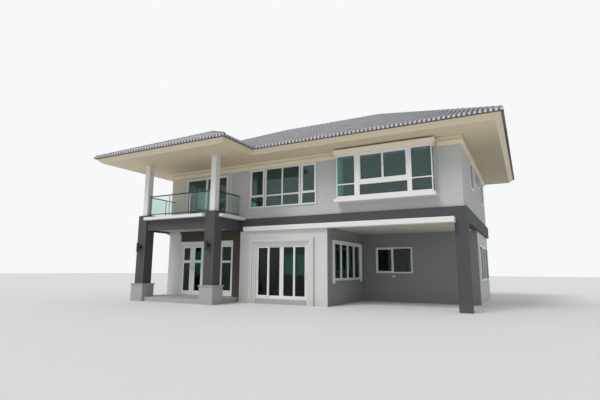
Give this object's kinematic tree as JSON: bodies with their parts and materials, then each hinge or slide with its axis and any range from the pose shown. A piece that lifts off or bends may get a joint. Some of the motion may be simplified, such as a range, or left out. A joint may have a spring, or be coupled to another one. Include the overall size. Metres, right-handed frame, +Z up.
{
  "type": "detached house",
  "caption": "Two-storey detached house with a hipped tiled roof, boxed eaves, carport, entrance porch under a balcony, box window and sliding doors.",
  "frame": {"origin": "on the ground, under the middle of the roof's outline", "axes": "+X to the right along the front, +Y from the front to the back, +Z up"},
  "size_m": [15.9414, 12.8114, 8.7246],
  "materials": {
    "black_metal": "satin",
    "brown_cladding": "matt dark brown painted render",
    "carport_wall": "matt painted render",
    "ceiling": "matt painted board",
    "charcoal_paint": "matt painted render",
    "cream_trim": "matt painted board",
    "cream_wall": "matt painted render",
    "floor": "matt concrete",
    "glass": "clear green tint",
    "grey_wall": "matt painted render",
    "lamp_white": "satin",
    "plinth": "matt painted render",
    "roof_tiles": "semi-matt",
    "steel": "brushed",
    "white_frame": "powder coated",
    "white_trim": "matt painted",
    "white_wall": "matt painted render"
  },
  "bodies": {
    "house": {"ground_floor": "floor", "porch_floor": "floor", "entrance_wall_left": "white_wall", "entrance_wall_right": "brown_cladding", "entrance_panel": "brown_cladding", "living_wall_left": "white_wall", "living_wall_right": "white_wall", "living_lintel": "white_wall", "left_wall": "white_wall", "back_wall": "white_wall", "right_wall": "white_wall", "carport_left_wall": "carport_wall", "carport_back_wall": "carport_wall", "carport_column": "charcoal_paint", "carport_ceiling": "ceiling", "downlights": "lamp_white", "porch_columns": "charcoal_paint", "porch_plinths": "plinth", "porch_beams": "charcoal_paint", "porch_ceiling": "ceiling", "wall_lamps": "black_metal", "upper_floor": "floor", "floor_band": "charcoal_paint", "front_ledge": "white_trim", "balcony_slab": "floor", "balcony_edge": "white_trim", "balcony_posts": "white_trim", "balcony_rails": "black_metal", "balcony_stanchions": "steel", "balcony_glass": "glass", "balcony_wall": "cream_wall", "upper_wall_front": "grey_wall", "upper_wall_right": "grey_wall", "upper_wall_back": "grey_wall", "upper_wall_left": "grey_wall", "cornice": "cream_trim", "eaves": "cream_trim", "roof": "roof_tiles", "ridge_caps": "roof_tiles", "box_window": "white_trim", "upper_window_frames": "white_frame", "upper_window_glass": "glass", "ground_window_frames": "white_frame", "ground_window_glass": "glass", "entrance_frame": "white_frame", "slide_frame": "white_frame", "slide_surround": "cream_trim", "door_hinges": "steel"},
    "door_left": {"door_leaf_left": "white_frame", "door_glass_left": "glass", "hinge_leaves_left": "steel", "door_handles_left": "steel"},
    "door_right": {"door_leaf_right": "white_frame", "door_glass_right": "glass", "hinge_leaves_right": "steel", "door_handles_right": "steel"},
    "slide_left": {"slide_leaf_left": "white_frame", "slide_glass_left": "glass"},
    "slide_right": {"slide_leaf_right": "white_frame", "slide_glass_right": "glass"}
  },
  "joints": [
    {"name": "door_left_hinge", "type": "hinge", "parent": "house", "child": "door_left", "pos_m": [-5.767, -3.025, 1.2], "axis": [0, 0, 1], "range_deg": [0, 90]},
    {"name": "door_right_hinge", "type": "hinge", "parent": "house", "child": "door_right", "pos_m": [-4.471, -3.025, 1.2], "axis": [0, 0, -1], "range_deg": [0, 90]},
    {"name": "slide_left_track", "type": "slide", "parent": "house", "child": "slide_left", "axis": [1, 0, 0], "range_m": [0, 0.544]},
    {"name": "slide_right_track", "type": "slide", "parent": "house", "child": "slide_right", "axis": [-1, 0, 0], "range_m": [0, 0.544]}
  ]
}
